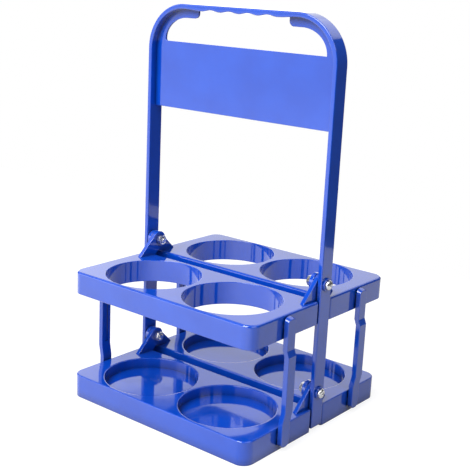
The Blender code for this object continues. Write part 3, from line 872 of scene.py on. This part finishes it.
def hingeBolt():
    head = booleanStep(asMesh(domedHead()), crossRecess(), "DIFFERENCE")
    core, thread = shankWithThread()
    solid = booleanStep(head, [core], "UNION")
    bm = bmesh.new()
    bm.from_mesh(solid)
    bm.from_mesh(thread)
    return asMesh(bm, sideways)


def hexNut():
    corner = bolt["nutAcrossFlats"] / math.sqrt(3)
    low, high = nutFace - bolt["nutThickness"], nutFace
    prism = asMesh(drum(corner, low, high, 6))
    chamfer = bolt["nutChamfer"]
    fall = bolt["chamferSlope"] * chamfer
    barrel = [(0, low, 0, 1), (corner - chamfer, low, 0, 1), (corner + chamfer, low + fall, 0, 1),
              (corner + chamfer, high - fall, 0, 1), (corner - chamfer, high, 0, 1), (0, high, 0, 1)]
    solid = booleanStep(prism, [asMesh(turned(barrel, bolt["nutSteps"]))], "INTERSECT")
    mouth = bolt["shankRadius"] + bolt["seat"]
    sunk = bolt["countersink"]
    bore = [(0, low - overshoot, 0, 1), (mouth + overshoot + sunk, low - overshoot, 0, 1),
            (mouth, low + sunk, 0, 1), (mouth, high + overshoot, 0, 1), (0, high + overshoot, 0, 1)]
    nut = booleanStep(solid, [asMesh(turned(bore, bolt["shankSteps"]))], "DIFFERENCE")
    nut.transform(sideways)
    return nut


boltMesh = hingeBolt()
nutMesh = hexNut()
for column, angle in (("left", math.pi), ("right", 0.0)):
    for level, height in (("upper", upperPivot), ("lower", lowerPivot)):
        place = Matrix.Translation((0, 0, height)) @ Matrix.Rotation(angle, 4, "Z")
        for name, node, source, slotName, material in (
                ("hingeBolt", "bolt", boltMesh, "bolt_chrome", boltChrome),
                ("hingeNut", "nut", nutMesh, "nut_chrome", nutChrome)):
            mesh = source.copy()
            mesh.transform(place)
            addPiece(f"{name}_{level}_{column}", mesh, f"{node}_{level}_{column}", material)
print("bolts and nuts modelled")


# floor, surroundings, lamp and camera

studio = {
    "floorLeft": -7.0,
    "floorRight": 0.55,
    "floorFront": -7.0,
    "floorBack": 0.50,           # the table ends here; the dark room beyond it shows in the legs' sides
    "floorTone": 0.45,
    "glow": 0.80,                # share of the floor's white that no shadow takes away
    "mirrorGlow": (0.20, 0.80),  # the same in reflections, behind the carrier and in front of it
    "mirrorReach": (-0.06, 0.14),
    "farGlow": 0.20,             # added to it away from the carrier
    "farReach": (0.15, 0.45),
    "brightSide": (-0.6, -0.8, 0),   # the way the mirrored floor brightens
    "shadowDepth": 0.30,
}


def tableTop():
    bm = bmesh.new()
    bmesh.ops.create_grid(bm, x_segments=2, y_segments=2, size=1)
    wide = studio["floorRight"] - studio["floorLeft"]
    deep = studio["floorBack"] - studio["floorFront"]
    bmesh.ops.scale(bm, vec=(wide / 2, deep / 2, 1), verts=bm.verts)
    bmesh.ops.translate(bm, vec=(studio["floorLeft"] + wide / 2, studio["floorFront"] + deep / 2, 0),
                        verts=bm.verts)
    mesh = asMesh(bm)
    mesh.name = "studioFloor"
    floor = bpy.data.objects.new("studioFloor", mesh)
    bpy.context.scene.collection.objects.link(floor)
    material = bpy.data.materials.new("white studio floor")
    material.use_nodes = True
    nodes, links = material.node_tree.nodes, material.node_tree.links
    nodes.clear()
    output = nodes.new("ShaderNodeOutputMaterial")
    path = nodes.new("ShaderNodeLightPath")
    seen = mathNode(nodes, links, "MAXIMUM", path.outputs["Is Camera Ray"], path.outputs["Is Glossy Ray"])

    # reflections see the floor brighten towards the front left
    place = nodes.new("ShaderNodeNewGeometry")
    along = nodes.new("ShaderNodeVectorMath")
    along.operation = "DOT_PRODUCT"
    along.inputs[1].default_value = studio["brightSide"]
    links.new(place.outputs["Position"], along.inputs[0])
    reach = rangeNode(nodes, links, along.outputs["Value"], studio["mirrorReach"], studio["mirrorGlow"])
    away = nodes.new("ShaderNodeVectorMath")
    away.operation = "LENGTH"
    links.new(place.outputs["Position"], away.inputs[0])
    far = rangeNode(nodes, links, away.outputs["Value"], studio["farReach"], (0, studio["farGlow"]))
    mirrored = mathNode(nodes, links, "ADD", reach.outputs["Result"], far.outputs["Result"])
    strength = nodes.new("ShaderNodeMix")
    strength.inputs["B"].default_value = studio["glow"]
    links.new(path.outputs["Is Camera Ray"], strength.inputs["Factor"])
    links.new(mirrored, strength.inputs["A"])

    paper = nodes.new("ShaderNodeBsdfDiffuse")
    paper.inputs["Color"].default_value = (*[studio["floorTone"]] * 3, 1)
    shade = nodes.new("ShaderNodeBsdfDiffuse")
    shade.inputs["Color"].default_value = (*[studio["shadowDepth"]] * 3, 1)
    glow = nodes.new("ShaderNodeEmission")
    links.new(strength.outputs["Result"], glow.inputs["Strength"])
    both = nodes.new("ShaderNodeAddShader")
    links.new(shade.outputs[0], both.inputs[0])
    links.new(glow.outputs[0], both.inputs[1])
    mix = nodes.new("ShaderNodeMixShader")
    links.new(seen, mix.inputs["Fac"])
    links.new(paper.outputs[0], mix.inputs[1])
    links.new(both.outputs[0], mix.inputs[2])
    links.new(mix.outputs[0], output.inputs["Surface"])
    mesh.materials.append(material)


cardBorder = 0.5               # degrees over which a card's top and foot fade, each way

# pale cards round the carrier: azimuth in degrees from +X, half width, lowest and highest elevation
cards = {
    "frontLeft": {"azimuth": -135, "half": 23, "low": 1, "high": 24, "light": 2.6, "soft": 1.5},
    "horizon": {"azimuth": -128, "half": 26, "low": -4, "high": 1, "light": 0.75, "soft": 1.5},
    "front": {"azimuth": -90, "half": 22, "low": 1, "high": 24, "light": 1.5, "soft": 1.5},
    "left": {"azimuth": 180, "half": 23, "low": 24, "high": 60, "light": 0.8, "soft": 1.5},
    "right": {"azimuth": -10, "half": 27, "low": 24, "high": 60, "light": 2.3, "soft": 1.5},
    "backdrop": {"azimuth": 131, "half": 27, "low": -40, "high": 24.4, "light": 0.86, "soft": 1.0},
    "backdropTop": {"azimuth": 117, "half": 12.8, "low": 24.4, "high": 28, "light": 0.86, "soft": 0.8},
    "backdropLeft": {"azimuth": 150, "half": 14, "low": -40, "high": 24.4, "light": 0.50, "soft": 6.0},
    "backdropLow": {"azimuth": 134, "half": 23, "low": -40, "high": 11, "light": 0.70, "soft": 3.0},
    "rear": {"azimuth": 88, "half": 20, "low": 1, "high": 12, "light": 0.65, "soft": 1.5},
    "rearHigh": {"azimuth": 95, "half": 25, "low": 28, "high": 60, "light": 1.1, "soft": 8.0},
    "ceiling": {"azimuth": 0, "half": 200, "low": 60, "high": 100, "light": 0.35, "soft": 1.5},
    "room": {"azimuth": 0, "half": 200, "low": -100, "high": 60, "light": 0.08, "soft": 1.5},
}


def fade(nodes, links, value, edge, soft, rising):
    # 0 to 1 across a soft border, or 1 to 0
    border = (math.radians(edge - soft), math.radians(edge + soft))
    node = rangeNode(nodes, links, value, border, (0, 1) if rising else (1, 0))
    node.interpolation_type = "SMOOTHSTEP"
    return node.outputs["Result"]


def surroundings():
    world = bpy.data.worlds.new("pale studio")
    bpy.context.scene.world = world
    world.use_nodes = True
    nodes, links = world.node_tree.nodes, world.node_tree.links
    nodes.clear()
    output = nodes.new("ShaderNodeOutputWorld")
    coordinates = nodes.new("ShaderNodeTexCoord")
    split = nodes.new("ShaderNodeSeparateXYZ")
    links.new(coordinates.outputs["Generated"], split.inputs[0])
    elevation = mathNode(nodes, links, "ARCSINE", split.outputs["Z"])
    total = 0.0
    for card in cards.values():
        turn = nodes.new("ShaderNodeVectorRotate")
        turn.rotation_type = "Z_AXIS"
        turn.inputs["Angle"].default_value = -math.radians(card["azimuth"])
        links.new(coordinates.outputs["Generated"], turn.inputs["Vector"])
        local = nodes.new("ShaderNodeSeparateXYZ")
        links.new(turn.outputs["Vector"], local.inputs[0])
        aside = mathNode(nodes, links, "ARCTAN2", local.outputs["Y"], local.outputs["X"])
        aside = mathNode(nodes, links, "ABSOLUTE", aside)
        across = fade(nodes, links, aside, card["half"], card["soft"], False)
        above = fade(nodes, links, elevation, card["low"], cardBorder, True)
        below = fade(nodes, links, elevation, card["high"], cardBorder, False)
        inside = mathNode(nodes, links, "MULTIPLY", across, above)
        inside = mathNode(nodes, links, "MULTIPLY", inside, below)
        shine = mathNode(nodes, links, "MULTIPLY", inside, card["light"])
        total = mathNode(nodes, links, "ADD", total, shine)
    light = nodes.new("ShaderNodeBackground")
    links.new(total, light.inputs["Strength"])
    light.inputs["Color"].default_value = (1, 1, 1, 1)
    white = nodes.new("ShaderNodeBackground")
    white.inputs["Strength"].default_value = 1.0
    white.inputs["Color"].default_value = (1, 1, 1, 1)
    path = nodes.new("ShaderNodeLightPath")
    mix = nodes.new("ShaderNodeMixShader")
    links.new(path.outputs["Is Camera Ray"], mix.inputs["Fac"])
    links.new(light.outputs[0], mix.inputs[1])
    links.new(white.outputs[0], mix.inputs[2])
    links.new(mix.outputs[0], output.inputs["Surface"])


keyBox = {"azimuth": -95, "elevation": 46, "distance": 1.9, "width": 1.2, "height": 1.4, "watts": 48,
          "aim": (0, 0, 0.15)}


def keyLamp():
    lamp = bpy.data.lights.new("keyLamp", "AREA")
    lamp.shape = "RECTANGLE"
    lamp.size, lamp.size_y = keyBox["width"], keyBox["height"]
    lamp.energy = keyBox["watts"]
    holder = bpy.data.objects.new("keyLamp", lamp)
    bpy.context.scene.collection.objects.link(holder)
    azimuth, elevation = math.radians(keyBox["azimuth"]), math.radians(keyBox["elevation"])
    out = Vector((math.cos(elevation) * math.cos(azimuth), math.cos(elevation) * math.sin(azimuth),
                  math.sin(elevation)))
    holder.location = Vector(keyBox["aim"]) + out * keyBox["distance"]
    holder.rotation_euler = out.to_track_quat("Z", "Y").to_euler()
    holder.visible_camera = False


def cameraLikePhoto():
    view = {"target": (0.00625, -0.00522, 0.15408), "azimuth": 38.37, "elevation": 14.77, "roll": 2.71,
            "distance": 0.84175, "lens": 74.07, "sensor": 36, "nearest": 0.01}
    lens = bpy.data.cameras.new("photoView")
    lens.lens = view["lens"]
    lens.sensor_width = view["sensor"]
    lens.sensor_fit = "HORIZONTAL"
    lens.clip_start = view["nearest"]
    camera = bpy.data.objects.new("photoView", lens)
    bpy.context.scene.collection.objects.link(camera)
    azimuth, elevation = math.radians(view["azimuth"]), math.radians(view["elevation"])
    out = Vector((math.cos(elevation) * math.sin(azimuth), -math.cos(elevation) * math.cos(azimuth),
                  math.sin(elevation)))
    turn = out.to_track_quat("Z", "Y").to_matrix().to_4x4()
    roll = Matrix.Rotation(math.radians(view["roll"]), 4, "Z")
    place = Matrix.Translation(Vector(view["target"]) + out * view["distance"])
    camera.matrix_world = place @ (turn @ roll)
    bpy.context.scene.camera = camera


tableTop()
surroundings()
keyLamp()
cameraLikePhoto()
bpy.context.scene.view_settings.view_transform = "Standard"
print("studio set")
